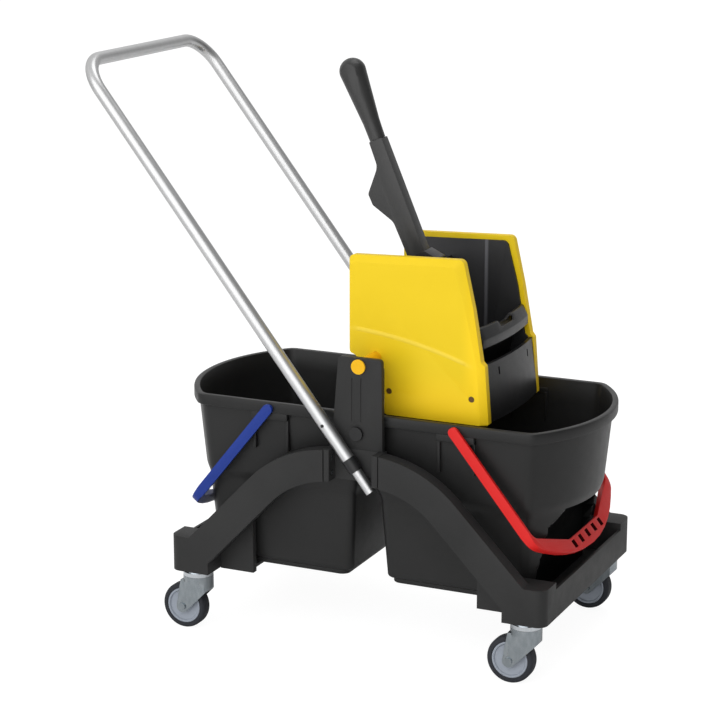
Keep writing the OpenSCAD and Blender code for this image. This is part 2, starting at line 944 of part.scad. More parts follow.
module bucket() {
    pad_half = 33;
    pad_drop = 12;
    rib_w = 5;
    rib_h = 66;
    rib_y = bucket_half_w + rim_out / 3;
    bail_hole_in = rim_half_w - stud_l - seat_gap;
    color(charcoal)
        difference() {
            union() {
                difference() {
                    union() {
                        bucket_loft(bucket_z, shoulder_top, shoulder_in);
                        bucket_loft(shoulder_top, rim_top, 0);
                    }
                    tip_recess(0);
                }
                translate([0, 0, rim_z])
                    linear_extrude(rim_h)
                        polygon(bucket_plan(rim_gap, rim_half_w, rim_end_x, end_bow_r + rim_out));
                both_sides() {
                    translate([bail_x - pad_half, -rim_half_w + over, rim_z - pad_drop])
                        cube([2 * pad_half, rim_half_w / 2, pad_drop + over]);
                    for (side = [-1, 1])
                        translate([bail_x + side * (pad_half - rib_w / 2) - rib_w / 2, -rib_y, rim_z - rib_h])
                            cube([rib_w, rib_y / 2, rib_h]);
                }
            }
            difference() {
                union() {
                    bucket_loft(bucket_z + bucket_wall, shoulder_top + 2 * bucket_wall,
                        shoulder_in + bucket_wall);
                    bucket_loft(shoulder_top + bucket_wall, rim_top + over, bucket_wall);
                }
                tip_recess(bucket_wall);
            }
            both_sides()
                rod_y(bail_x, bail_z, bail_stud_d + 2 * running, -rim_half_w - over, -bail_hole_in);
        }
}

module bucket_right() {
    bucket();
}

module bucket_left() {
    mirror([1, 0, 0])
        bucket();
}

// Bails: own X runs from the pivot to the grip, own Z is square to the bail

stud_l = 8;
bail_in = rim_half_w + slide_gap + 0.7;
bail_out = bail_in + bail_t;
bail_bow_r = 339;
grip_chord = 70;
grip_fall = 0.36;

function bow_points(reach, r, y_half, n = 12) = let (a = asin(y_half / r))
    [for (k = [1:n - 1]) let (b = -a + 2 * a * k / n) [reach - r + r * cos(b), r * sin(b), 0]];
function bow_end(reach, r, y_half) = reach - r + sqrt(r * r - y_half * y_half);

module bail_loop() {
    inner = bail_reach - grip_w;
    out_x = bow_end(bail_reach, bail_bow_r, bail_out);
    in_x = inner - (bail_in - grip_chord) * grip_fall;
    polygon(rounded(concat(
        [[-bail_w, -bail_out, 0], [out_x, -bail_out, bail_corner_r]],
        bow_points(bail_reach, bail_bow_r, bail_out),
        [[out_x, bail_out, bail_corner_r], [-bail_w, bail_out, 0],
         [-bail_w, bail_in, 0], [in_x, bail_in, bail_inner_r],
         [inner, grip_chord, 8], [inner, -grip_chord, 8],
         [in_x, -bail_in, bail_inner_r], [-bail_w, -bail_in, 0]])));
}

module bail() {
    half = bail_w / 2;
    slots = 5;
    slot_x = bail_reach - grip_w + 4;
    neck = bail_reach - bail_neck_l;
    taper_end = neck + bail_taper_l;
    translate([bail_x, 0, bail_z])
        rotate([0, bail_hang, 0]) {
            difference() {
                intersection() {
                    translate([0, 0, -half])
                        linear_extrude(bail_w)
                            bail_loop();
                    union() {
                        rod_y(0, 0, bail_w, -bail_out - over, bail_out + over);
                        slab_y(-bail_out - over, bail_out + over)
                            polygon(rounded([
                                [0, -half, 0], [neck, -half, bail_taper_r],
                                [taper_end, -grip_half, bail_taper_r],
                                [bail_reach + over, -grip_half, 0], [bail_reach + over, grip_half, 0],
                                [taper_end, grip_half, bail_taper_r],
                                [neck, half, bail_taper_r], [0, half, 0]]));
                    }
                }
                for (k = [0:slots - 1])
                    translate([slot_x, (k - (slots - 1) / 2) * grip_slot_pitch - grip_slot_w / 2, -half])
                        cube([grip_slot_l, grip_slot_w, bail_w]);
            }
            both_sides()
                rod_y(0, 0, bail_stud_d, -bail_in - over, -rim_half_w + stud_l);
        }
}

module bail_right() {
    color(red)
        bail();
}

module bail_left() {
    color(blue)
        mirror([1, 0, 0])
            bail();
}

// Wringer

wringer_outline = [for (p = [
    [wr_heel_x, -wringer_drop, 4],
    [wringer_front, -wringer_drop, 3],
    [wringer_front - wr_knee_in, wr_knee_z, 3],
    [wringer_front - wr_knee_in - wr_knee_step[0], wr_knee_z + wr_knee_step[1], 3],
    [wringer_front - wr_bulge[0], wr_bulge[1], 150],
    [wringer_top_front, wringer_top + wr_top_rise, 10],
    [-wringer_back, wringer_top, 9],
    [-wringer_back, wr_rear_lift, 4],
    [-wringer_back + wr_rear_step, 1, 3],
    [-hinge_r - 4, wr_lip_z, 3],
    [wr_heel_x, wr_lip_z, 3]]) [crossbar_x + p[0], wr_z + p[1], p[2]]];

// The outline drawn in by one distance along its foot and heel and others along its front, top and rear
function drawn_in(foot, front, top, rear) = let (move = [
    [foot, foot], [-front, foot], [-front, 0], [-front, 0], [-front, 0],
    [-1.1 * front, -top], [rear, -top], [rear, foot],
    [foot / 2, foot], [foot / 2, foot], [foot, foot]])
    [for (i = [0:len(move) - 1])
        [wringer_outline[i][0] + move[i][0], wringer_outline[i][1] + move[i][1], wringer_outline[i][2]]];

module at_cover_screws() {
    for (p = cover_screw_at)
        translate([crossbar_x + p[0], 0, wr_z + p[1]])
            children();
}

module cover() {
    face = drawn_in(0, cover_bevel, cover_bevel, cover_bevel / 4);
    inner_lip = cover_lip + cover_bevel / 2;
    boss_d = cover_screw_d + 8;
    color(yellow)
        difference() {
            union() {
                difference() {
                    intersection() {
                        slab_y(-wringer_half_w, -mouth_half_w)
                            polygon(rounded(wringer_outline));
                        hull() {
                            slab_y(-wringer_half_w + cover_bevel_t, -mouth_half_w)
                                polygon(rounded(wringer_outline));
                            slab_y(-wringer_half_w, -wringer_half_w + cover_bevel_t)
                                polygon(rounded(face));
                        }
                    }
                    slab_y(-wringer_half_w + cover_wall + cover_bevel_t, -mouth_half_w + over)
                        polygon(rounded(drawn_in(cover_wall, cover_lip, cover_lip, cover_lip)));
                    slab_y(-wringer_half_w + cover_wall, -mouth_half_w)
                        polygon(rounded(drawn_in(cover_wall, inner_lip, inner_lip, inner_lip)));
                }
                at_cover_screws()
                    rod_y(0, 0, boss_d, -wringer_half_w + cover_wall, -mouth_half_w - side_wall_t - seat_gap);
            }
            rod_y(crossbar_x, wr_z, crossbar_d + 2 * bore_gap, -wringer_half_w - over, -mouth_half_w + over);
            at_cover_screws() {
                rod_y(0, 0, cover_screw_d + 2 * snug, -wringer_half_w - over, -mouth_half_w);
                rod_y(0, 0, cover_screw_head + 2 * seat_gap, -wringer_half_w - over, screw_seat_y);
            }
        }
}

screw_sink = 3;
screw_seat_y = -wringer_half_w + screw_sink;

module cover_near() {
    cover();
}

module cover_far() {
    mirror([0, 1, 0])
        cover();
}

module cover_screws() {
    color(black)
        both_sides()
            at_cover_screws() {
                rod_y(0, 0, cover_screw_head, -wringer_half_w + 1, screw_seat_y);
                rod_y(0, 0, cover_screw_d, screw_seat_y - over, -mouth_half_w - side_wall_t / 2);
            }
}

// A wall bowed outwards, from a section in X and Z at the middle of the wringer
module bowed(half, section) {
    sweep = asin(half / (apron_bow_r / 2));
    intersection() {
        translate([bow_centre_x, 0, 0])
            rotate([0, 0, -sweep])
                rotate_extrude(angle = 2 * sweep, $fn = 180)
                    polygon([for (p = section) [p[0] - bow_centre_x, p[1]]]);
        translate([0, -half, 0])
            cube([chassis_l, 2 * half, rim_top * 2]);
    }
}

// Body of the wringer: two side plates, the apron, the drain grid, the hinge barrel and a rear panel
apron_t = 6;
apron_lean = 10.5;
apron_foot_x = crossbar_x + wringer_front + apron_out;
apron_top_z = wr_z + wr_knee_z;
apron_sag = apron_bow_r - sqrt(apron_bow_r * apron_bow_r - mouth_half_w * mouth_half_w);
span_half = mouth_half_w - liner_t;

module side_plate() {
    seat = cover_lip + seat_gap;
    outline = drawn_in(cover_wall + seat_gap, seat, seat, seat);
    hole_end = mouth_half_w + side_wall_t / 2 - seat_gap;
    color(black)
        difference() {
            union() {
                slab_y(-mouth_half_w - side_wall_t, -mouth_half_w)
                    polygon(rounded(outline));
                slab_y(-mouth_half_w - over, -span_half)
                    intersection() {
                        polygon(rounded(outline));
                        translate([crossbar_x + liner_x, wr_bottom])
                            square([wringer_front, wringer_drop + wringer_top + wr_top_rise]);
                    }
            }
            rod_y(crossbar_x, wr_z, crossbar_d + 2 * bore_gap, -wringer_half_w, -span_half + over);
            rod_y(press_x, press_z, shaft_d + 2 * snug, -wringer_half_w, -span_half + over);
            at_cover_screws()
                rod_y(0, 0, cover_screw_d + 2 * snug, -wringer_half_w, -hole_end);
        }
}

module side_plate_near() {
    side_plate();
}

module side_plate_far() {
    mirror([0, 1, 0])
        side_plate();
}

module wringer_apron() {
    foot_z = wr_bottom + cover_wall;
    slot_y = 65;
    slot_w = 5;
    slot_h = 13;
    slot_z = apron_top_z - 11 - slot_h;
    color(black)
        difference() {
            bowed(mouth_half_w - seat_gap, [
                [apron_foot_x - apron_t, foot_z], [apron_foot_x, foot_z],
                [apron_foot_x - apron_lean, apron_top_z], [apron_foot_x - apron_lean - apron_t, apron_top_z]]);
            both_sides()
                translate([press_x, -slot_y - slot_w / 2, slot_z])
                    cube([wringer_front, slot_w, slot_h]);
        }
}

// Floor of the body, with a rail under the front jaw's foot
grid_t = 4;
grid_z = wr_bottom + cover_wall + seat_gap;
jaw_foot_x = press_x + 23;
jaw_foot_z = grid_z + grid_t;

module drain_grid() {
    x0 = crossbar_x + wr_heel_x + cover_wall + seat_gap;
    x1 = apron_foot_x - apron_t - apron_sag - 2;
    rail_w = 16;
    slot_pitch = 16;
    slot_w = 9;
    slot_l = span_half - 2 * grid_t;
    color(black) {
        difference() {
            translate([x0, -span_half, grid_z])
                cube([x1 - x0, 2 * span_half, grid_t]);
            for (x = [x0 + slot_pitch:slot_pitch:x1 - slot_pitch], y = [grid_t, -grid_t - slot_l])
                translate([x - slot_w / 2, y, grid_z - over])
                    cube([slot_w, slot_l, grid_t + 2 * over]);
        }
        translate([jaw_foot_x - 2, -span_half, grid_z])
            cube([rail_w, 2 * span_half, grid_t]);
    }
}

module hinge_barrel() {
    color(black)
        difference() {
            rod_y(crossbar_x, wr_z, 2 * (hinge_r - cover_wall), -mouth_half_w, mouth_half_w);
            rod_y(crossbar_x, wr_z, crossbar_d + 2 * bore_gap, -wringer_half_w, wringer_half_w);
        }
}

module rear_panel() {
    rear_h = 90;
    color(black)
        translate([crossbar_x - wringer_back + cover_lip + seat_gap, -mouth_half_w,
                wr_z + wr_rear_lift + cover_lip + seat_gap])
            cube([apron_t, 2 * mouth_half_w, rear_h]);
}

module front_jaw() {
    lip_back = 17;
    lip_h = 60;
    lip_x = crossbar_x + wringer_front - lip_back;
    lip_z = wr_z + lip_h;
    skirt = 33;
    notch_l = 80;
    notch_half = 27;
    notch_side = 5;
    notch_d = 10;
    color(black)
        difference() {
            bowed(span_half, rounded([
                [jaw_foot_x, jaw_foot_z, 0], [jaw_foot_x + jaw_t * 1.2, jaw_foot_z, 0],
                [lip_x - 10, lip_z - 12, 2], [lip_x - 6, lip_z - jaw_t, 2],
                [lip_x - 2, lip_z - jaw_t, 2], [lip_x + 2, lip_z - 20, 2],
                [lip_x + 2, lip_z - skirt, 0], [lip_x + 2 + jaw_t, lip_z - skirt, 0],
                [lip_x + 2 + jaw_t, lip_z - 18, 4], [lip_x - 2, lip_z, 4],
                [lip_x - 8, lip_z, 4], [lip_x - 16, lip_z - 12, 3]]));
            translate([lip_x - 0.75 * notch_l, 0, lip_z])
                rotate([90, 0, 90])
                    linear_extrude(notch_l)
                        polygon([
                            [-notch_half, -notch_d], [notch_half, -notch_d],
                            [notch_half + notch_side, over], [-notch_half - notch_side, over]]);
        }
}

module press_shaft() {
    color(steel)
        rod_y(press_x, press_z, shaft_d, -mouth_half_w - side_wall_t - 6, mouth_half_w + side_wall_t + 6);
}

module return_springs() {
    spring_d = shaft_d + 9;
    color(steel)
        both_sides()
            difference() {
                rod_y(press_x, press_z, spring_d, -hub_half - spring_gap - spring_l, -hub_half - spring_gap);
                rod_y(press_x, press_z, shaft_d + 2 * snug, -hub_half - spring_l - 2, -hub_half);
            }
}

// Press and lever: own Z runs up the lever from the shaft, own X points to the jaw

module in_press() {
    translate([press_x, 0, press_z])
        rotate([0, -lever_lean, 0])
            children();
}

module press_plate() {
    plate_u0 = 24;
    plate_u1 = 205;
    socket_half = lever_w / 2 + socket_wall;
    rib_w = 6;
    rib_h = 4;
    rib_pitch = press_half_w / 3;
    color(black)
        difference() {
            union() {
                in_press() {
                    translate([-press_t / 2, -press_half_w, plate_u0])
                        cube([press_t, 2 * press_half_w, plate_u1 - plate_u0]);
                    translate([-press_t / 2, -hub_half, 0])
                        cube([press_t, 2 * hub_half, plate_u0 + over]);
                    for (k = [-2.5:1:2.5])
                        translate([0, k * rib_pitch - rib_w / 2, plate_u0 + 6])
                            cube([press_t / 2 + rib_h, rib_w, plate_u1 - plate_u0 - 12]);
                    slab_y(-socket_half, socket_half)
                        polygon(rounded([
                            [lever_back - socket_wall, lever_foot_u - socket_wall, 3],
                            [lever_front + socket_wall, lever_foot_u - socket_wall, 3],
                            [lever_front + socket_nose, socket_nose_u, 4],
                            [lever_front + 2, socket_front_u, 3],
                            [lever_back - socket_wall, socket_back_u, 3]]));
                }
                rod_y(press_x, press_z, 2 * hub_r, -hub_half, hub_half);
            }
            rod_y(press_x, press_z, shaft_d + 2 * running, -press_half_w, press_half_w);
            in_press() {
                translate([lever_back - seat_gap, -lever_w / 2 - seat_gap, lever_foot_u])
                    cube([lever_front - lever_back + 2 * seat_gap, lever_w + 2 * seat_gap, lever_l]);
                for (u = lever_bolt_u)
                    rod_y(lever_bolt_v, u, lever_bolt_d + 2 * snug, -press_half_w, press_half_w);
            }
        }
}

module lever_arm() {
    bump_u = lever_l - bump_drop_h;
    color(charcoal)
        in_press() {
            difference() {
                slab_y(-lever_w / 2, lever_w / 2)
                    polygon(rounded([
                        [lever_back, lever_foot_u, 0], [lever_front, lever_foot_u, 0],
                        [lever_front, socket_front_u + bump_foot_out, 0],
                        [lever_top_front, lever_l, 2], [lever_top_back, lever_l, 2],
                        [lever_top_back - over, lever_l - lever_neck_h, 20],
                        [lever_back, bump_u + bump_top_h, 16],
                        [lever_back - bump_out_h, bump_u + bump_face_h, 8],
                        [lever_back - bump_out_h + over, bump_u - bump_face_h, 8],
                        [lever_back - bump_foot_out, bump_u - bump_foot_h, 20],
                        [lever_back, socket_back_u + bump_foot_out, 0]]));
                for (u = lever_bolt_u)
                    rod_y(lever_bolt_v, u, lever_bolt_d + 2 * snug, -lever_w, lever_w);
            }
            translate([grip_off, 0, lever_l - over])
                cylinder(d = lever_spigot_d, h = lever_spigot_l + over);
        }
}

module lever_grip() {
    foot_r = 13.5;
    top_r = lever_grip_d / 2;
    neck_u = 30;
    flat = 18;
    color(charcoal)
        in_press()
            translate([grip_off, 0, lever_l + seat_gap])
                difference() {
                    intersection() {
                        rotate_extrude()
                            polygon(concat(
                                [[0, 0], [foot_r, 0], [foot_r + 0.8, neck_u]],
                                [for (a = [0:10:90]) [top_r * cos(a), lever_grip_l - top_r + top_r * sin(a)]]));
                        translate([-lever_grip_d, -flat, -over])
                            cube([2 * lever_grip_d, 2 * flat, lever_grip_l + 2 * over]);
                    }
                    translate([0, 0, -over])
                        cylinder(d = lever_spigot_d + 2 * snug, h = lever_spigot_l + over);
                }
}

module lever_bolts() {
    head_h = 4;
    head_d = lever_bolt_d + 5;
    half = lever_w / 2 + socket_wall;
    color(steel)
        in_press()
            for (u = lever_bolt_u) {
                rod_y(lever_bolt_v, u, lever_bolt_d, -half - over, half + over);
                rod_y(lever_bolt_v, u, head_d, -half - head_h, -half);
                rod_y(lever_bolt_v, u, head_d, half, half + head_h);
            }
}

frame_left();
frame_right();
centre_bridge();
frame_screws();
bracket_near();
bracket_far();
bracket_bolts();
bracket_bolt_caps();
wringer_crossbar();
crossbar_caps();
handle_stubs();
handle_bolts();
king_pins();
swivel_cups();
handle_tube();
handle_collars();
bucket_left();
bucket_right();
bail_left();
bail_right();
cover_near();
cover_far();
side_plate_near();
side_plate_far();
wringer_apron();
drain_grid();
hinge_barrel();
rear_panel();
front_jaw();
press_shaft();
return_springs();
cover_screws();
press_plate();
lever_arm();
lever_grip();
lever_bolts();
fork(near_left);  // fork_near_left
fork(near_right);  // fork_near_right
fork(far_left);  // fork_far_left
fork(far_right);  // fork_far_right
axle(near_left);  // axle_near_left
axle(near_right);  // axle_near_right
axle(far_left);  // axle_far_left
axle(far_right);  // axle_far_right
wheel(near_left);  // wheel_near_left
wheel(near_right);  // wheel_near_right
wheel(far_left);  // wheel_far_left
wheel(far_right);  // wheel_far_right
tyre(near_left);  // tyre_near_left
tyre(near_right);  // tyre_near_right
tyre(far_left);  // tyre_far_left
tyre(far_right);  // tyre_far_right
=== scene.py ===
# %% [markdown]
# # A double mop bucket trolley
# The solid model gives every piece its size, its place and its joint.
# This script gives the pieces their looks: soft moulded edges, lofted buckets, turned wheels and materials.

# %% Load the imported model
import json
import math

import bmesh
import bpy
from mathutils import Matrix, Vector


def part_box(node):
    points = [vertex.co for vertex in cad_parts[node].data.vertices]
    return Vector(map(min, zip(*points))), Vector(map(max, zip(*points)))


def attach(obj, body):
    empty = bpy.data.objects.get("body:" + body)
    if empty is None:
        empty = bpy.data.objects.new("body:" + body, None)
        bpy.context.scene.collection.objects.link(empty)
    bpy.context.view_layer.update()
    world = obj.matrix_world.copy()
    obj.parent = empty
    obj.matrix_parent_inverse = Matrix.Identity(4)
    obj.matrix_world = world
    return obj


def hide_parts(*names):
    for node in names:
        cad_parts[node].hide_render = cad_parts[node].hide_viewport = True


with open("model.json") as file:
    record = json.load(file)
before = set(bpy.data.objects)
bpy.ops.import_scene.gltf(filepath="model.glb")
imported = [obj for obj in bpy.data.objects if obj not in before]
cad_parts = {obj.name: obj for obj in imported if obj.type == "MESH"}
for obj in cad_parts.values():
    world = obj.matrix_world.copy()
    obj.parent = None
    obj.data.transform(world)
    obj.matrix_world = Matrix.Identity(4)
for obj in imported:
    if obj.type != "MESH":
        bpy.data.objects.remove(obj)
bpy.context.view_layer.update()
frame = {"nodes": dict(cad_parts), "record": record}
nodes = frame["nodes"]
body_of = {n: b for b, names in frame["record"]["behaviour"]["bodies"].items() for n in names}
slot_of = {s["node"]: s["material_slot"] for s in frame["record"]["subparts"]}
MM = 0.001

# %% [markdown]
# ## Shader maths
# A material here is a sum of noises, so it helps to write it as a sum.
# `Wire` stands for one output in a node tree, and its operators add the node that does that step.


# %% One class for node trees
class Wire:
    def __init__(self, tree, socket):
        self.tree = tree
        self.socket = socket

    def node(self, kind, inputs, out=0, **options):
        made = self.tree.nodes.new(kind)
        for key, value in options.items():
            setattr(made, key, value)
        for key, value in inputs.items():
            if isinstance(value, Wire):
                self.tree.links.new(value.socket, made.inputs[key])
            else:
                made.inputs[key].default_value = value
        return Wire(self.tree, made.outputs[out])

    def maths(self, operation, *others):
        return self.node("ShaderNodeMath", dict(enumerate((self, *others))), operation=operation)

    def __add__(self, other):
        return self.maths("ADD", other)

    def __sub__(self, other):
        return self.maths("SUBTRACT", other)

    def __mul__(self, other):
        return self.maths("MULTIPLY", other)

    def __rsub__(self, other):
        return self.maths("MULTIPLY_ADD", -1.0, other)

    def __abs__(self):
        return self.maths("ABSOLUTE")

    __radd__ = __add__
    __rmul__ = __mul__


# %% Textures built from it
def noise(at, scale, detail=2.0, stretch=None, turn=0.0):
    if stretch:
        turned_at = at.node("ShaderNodeMapping", {"Vector": at, "Rotation": (0, turn, 0)})
        at = at.node("ShaderNodeMapping", {"Vector": turned_at, "Scale": stretch})
    return at.node("ShaderNodeTexNoise", {"Vector": at, "Scale": scale, "Detail": detail}, out=0)


def ramp(value, low, high):
    inputs = {"Value": value, "From Min": low, "From Max": high}
    return value.node("ShaderNodeMapRange", inputs, interpolation_type="SMOOTHSTEP")


def mixed(amount, dark, light):
    inputs = {0: amount, 6: dark if isinstance(dark, Wire) else (*dark, 1.0), 7: (*light, 1.0)}
    return amount.node("ShaderNodeMix", inputs, out=2, data_type="RGBA")


def axis(at, name):
    return at.node("ShaderNodeSeparateXYZ", {"Vector": at}, out=name)


def bumped(height, depth, strength=1.0):
    return height.node("ShaderNodeBump", {"Height": height, "Distance": depth, "Strength": strength})


def material(name, recipe):
    made = bpy.data.materials.new(name)
    made.use_nodes = True
    tree = made.node_tree
    shader = tree.nodes["Principled BSDF"]
    at = Wire(tree, tree.nodes.new("ShaderNodeTexCoord").outputs["Object"])
    for key, value in recipe(at).items():
        if isinstance(value, Wire):
            tree.links.new(value.socket, shader.inputs[key])
        else:
            shader.inputs[key].default_value = value
    return made


# %% [markdown]
# ## Materials
# Moulded plastic shows three scales at once: a fine grain from the mould, faint clouds in the colour, and
# scuffs that change how sharply it reflects. Metals get streaks along the way they were drawn or plated.


# %% Plastics
GRAIN, CLOUDS, SCUFFS = 1100, 7, 55


def grey(level):
    return (level, level, level)


def plastic(dark, light, rough, grain, shine=0.4):
    def recipe(at):
        fine = noise(at, GRAIN, 2)
        cloud = noise(at, CLOUDS, 4)
        scuff = noise(at, SCUFFS, 5)
        return {
            "Base Color": mixed(ramp(cloud * 0.8 + fine * 0.2, 0.3, 0.7), dark, light),
            "Roughness": rough - 0.03 + 0.06 * ramp(scuff, 0.25, 0.8),
            "Specular IOR Level": shine,
            "Normal": bumped(fine, grain),
        }
    return recipe


charcoal = material("charcoal_plastic", plastic(grey(0.024), grey(0.031), 0.48, 0.00018, 0.16))
black = material("black_plastic", plastic((0.006, 0.006, 0.0065), (0.011, 0.011, 0.012), 0.34, 0.00010, 0.4))
red = material("red_plastic", plastic((0.64, 0.014, 0.013), (0.70, 0.020, 0.018), 0.40, 0.00008, 0.22))
blue = material("blue_plastic", plastic((0.009, 0.030, 0.22), (0.013, 0.040, 0.26), 0.40, 0.00008, 0.22))
wheel_grey = material("wheel_grey", plastic((0.27, 0.30, 0.35), (0.31, 0.34, 0.39), 0.42, 0.00012))
tyre_grey = material("tyre_grey", plastic((0.022, 0.024, 0.029), (0.032, 0.034, 0.040), 0.62, 0.00022, 0.18))
print("made", len(bpy.data.materials), "materials")


# %% [markdown]
# The yellow covers have a shallow ridge that runs down in a long curve from the rear edge to the knee.
# It is a piece of its own further on, and a painted highlight makes the plastic a little paler along it.
# Towards the foot the colour turns a little more orange and is painted lighter, and painted light brightens
# the front edge.


# %% Yellow with the ridge
REAR_EDGE = 0.034
RIDGE_TOP, RIDGE_SLOPE, RIDGE_CURVE = 0.5437, 0.0689, 0.702


def ridge_z(along):
    return RIDGE_TOP - along * RIDGE_SLOPE - along * along * RIDGE_CURVE


def cover_yellow(at):
    recipe = plastic((0.80, 0.56, 0.010), (0.83, 0.59, 0.014), 0.46, 0.00010, 0.18)(at)
    along = axis(at, "X") + REAR_EDGE
    off = abs(axis(at, "Z") - ridge_z(along))
    # Painted highlight: a pale line along the ridge.
    ridge_highlight = ramp(off, 0.0060, 0.0008) * ramp(along, -0.02, 0.02) * ramp(along, 0.215, 0.185)
    # Painted light: the colour is lighter and a little more orange towards the foot.
    low = ramp(axis(at, "Z"), 0.50, 0.42)
    painted_shading = mixed(low, recipe["Base Color"], (1.0, 0.66, 0.014))
    # Painted light: the front edge is lighter.
    front_painted_light = ramp(axis(at, "X"), 0.150, 0.185)
    painted_shading = mixed(front_painted_light * 0.8, painted_shading, (1.0, 0.67, 0.014))
    recipe["Base Color"] = mixed(ridge_highlight * 0.35, painted_shading, (0.99, 0.80, 0.14))
    return recipe


yellow = material("yellow_plastic", cover_yellow)


# %% [markdown]
# The side plates carry a liner that ends in a fold. A painted highlight runs pale along the fold, and the
# plastic is a little lighter behind it.


# %% Side plates with the fold of their liner
FOLD_X = 0.1074


def liner_black(at):
    recipe = plastic((0.022, 0.022, 0.023), (0.027, 0.027, 0.028), 0.42, 0.00012, 0.3)(at)
    x = axis(at, "X")
    rear = mixed(ramp(x, 0.106, 0.103), recipe["Base Color"], (0.036, 0.036, 0.038))
    # Painted highlight: a pale band along the fold of the liner.
    fold_highlight = ramp(abs(x - FOLD_X), 0.0056, 0.0012)
    recipe["Base Color"] = mixed(fold_highlight, rear, (0.115, 0.115, 0.125))
    return recipe


side_black = material("liner_plastic", liner_black)
cap_yellow = material("cap_yellow", plastic((0.80, 0.42, 0.006), (0.83, 0.45, 0.008), 0.42, 0.00008, 0.2))
screw_brown = material("screw_brown", plastic((0.10, 0.050, 0.010), (0.14, 0.072, 0.016), 0.45, 0.00010, 0.4))
grip_grey = material("grip_plastic", plastic(grey(0.024), grey(0.034), 0.33, 0.00016, 0.42))


# %% [markdown]
# The buckets taper, and their outer ends are bowed. A tipping recess is let into each bowed end. Its plastic
# gets a painted shade, darker and rougher, where it lies behind the skin that the wall would have there
# without the recess.
# Sizes in mm: what the wall measures at the rim, and how much of that is gained or lost down to the base.


# %% Sizes and plastic of the buckets
BASE, RIM_Z, WALL, STEP = 118, 397, 3.5, 4
X_IN, HALF, X_OUT, BOW = (11, 17), (169, -21), (360.5, -28), (252, -21)
RECESS, RECESS_H, KNEE_H, SHOULDER = 284.5, 152, 125, 7
RECESS_TOP = BASE + RECESS_H


def bucket_plastic(at):
    recipe = plastic(grey(0.012), grey(0.016), 0.40, 0.00014, 0.28)(at)
    y, z, out = axis(at, "Y"), axis(at, "Z"), abs(axis(at, "X"))
    fall = (RIM_Z * MM - z) * (1 / ((RIM_Z - BASE) * MM))
    wall, bow = ((top - STEP) * MM + change * MM * fall for top, change in (X_OUT, BOW))
    skin = wall - bow + (bow * bow - y * y).maths("SQRT")
    # Painted shade: darker and rougher where the recess lies behind the wall's skin.
    painted_shading = ramp(skin - out, 1.2 * MM, 4.2 * MM)
    painted_shading = painted_shading * ramp(out, (RECESS - 1.5) * MM, (RECESS - 0.3) * MM)
    painted_shading = painted_shading * ramp(z, (RECESS_TOP + 0.5) * MM, (RECESS_TOP - 1) * MM)
    recipe["Base Color"] = mixed(painted_shading, recipe["Base Color"], (0.0012, 0.0014, 0.0014))
    recipe["Roughness"] = recipe["Roughness"] + 0.4 * painted_shading
    return recipe


bucket_black = material("bucket_plastic", bucket_plastic)


# %% [markdown]
# The handle is drawn aluminium, so its streaks run up along the lean of its legs. Forks, axles and screws are
# zinc plated steel, and the swivel cups are bright chrome.


# %% Metals
def metal(dark, light, rough, stretch, turn=0.0):
    def recipe(at):
        streak = noise(at, 1.0, 1, stretch, turn)
        cloud = noise(at, 16, 3)
        return {
            "Base Color": mixed(ramp(streak * 0.6 + cloud * 0.4, 0.25, 0.75), dark, light),
            "Metallic": 1.0,
            "Roughness": rough - 0.03 + 0.06 * cloud,
        }
    return recipe


LEAN = math.radians(37.95)
tube_drawn = metal((0.56, 0.562, 0.565), (0.60, 0.602, 0.605), 0.36, (150, 150, 2), LEAN)
aluminium = material("tube_aluminium", tube_drawn)
zinc = material("zinc_steel", metal((0.25, 0.28, 0.30), (0.33, 0.36, 0.38), 0.27, (160, 160, 60)))
chrome = material("bright_chrome", metal((0.52, 0.55, 0.58), (0.60, 0.63, 0.66), 0.14, (400, 400, 40)))
lever_grey = material("lever_plastic", plastic(grey(0.030), grey(0.038), 0.35, 0.00016, 0.42))
finish = {
    "charcoal_plastic": charcoal, "black_plastic": black, "yellow_plastic": yellow, "red_plastic": red,
    "blue_plastic": blue, "wheel_grey": wheel_grey, "tyre_grey": tyre_grey, "tube_aluminium": aluminium,
    "zinc_steel": zinc, "bright_chrome": chrome,
}
own_finish = {
    "crossbar_caps": cap_yellow, "wringer_crossbar": cap_yellow, "cover_screws": screw_brown,
    "lever_arm": lever_grey, "lever_grip": grip_grey,
    "bucket_left": bucket_black, "bucket_right": bucket_black,
    "side_plate_near": side_black, "side_plate_far": side_black,
}
for name, thing in nodes.items():
    thing.data.materials.clear()
    thing.data.materials.append(own_finish.get(name, finish[slot_of[name]]))
print("painted", len(nodes), "nodes")


# %% [markdown]
# ## Turning a mesh into a piece
# Every piece ends the same way: its mesh goes into an object, gets its material, and rides on a body.
# Faces are shaded smooth except where they meet at a real edge.


# %% Finishing a piece
def piece(bm, name, node, sharp=35, stands_for=True, slot=None):
    bmesh.ops.recalc_face_normals(bm, faces=bm.faces)
    mesh = bpy.data.meshes.new(name)
    bm.to_mesh(mesh)
    bm.free()
    mesh.shade_smooth()
    mesh.set_sharp_from_angle(angle=math.radians(sharp))
    mesh.materials.append(finish[slot] if slot else own_finish.get(node, finish[slot_of[node]]))
    made = bpy.data.objects.new(name, mesh)
    bpy.context.scene.collection.objects.link(made)
    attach(made, body_of[node])
    if stands_for:
        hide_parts(node)
    print(name, len(mesh.polygons), "faces")
    return made


# %% [markdown]
# ## Soft edges on moulded parts
# A moulding has no knife edges. A copy of the solid's mesh has its flat faces joined up again, and then
# every edge that is sharper than a limit gets a small rounded bevel.


# %% Bevelled copies
def clean_copy(node, flat=0.3):
    bm = bmesh.new()
    bm.from_mesh(nodes[node].data)
    bmesh.ops.remove_doubles(bm, verts=bm.verts, dist=1e-6)
    if flat:
        bmesh.ops.dissolve_limit(bm, angle_limit=math.radians(flat), verts=bm.verts, edges=bm.edges)
    return bm


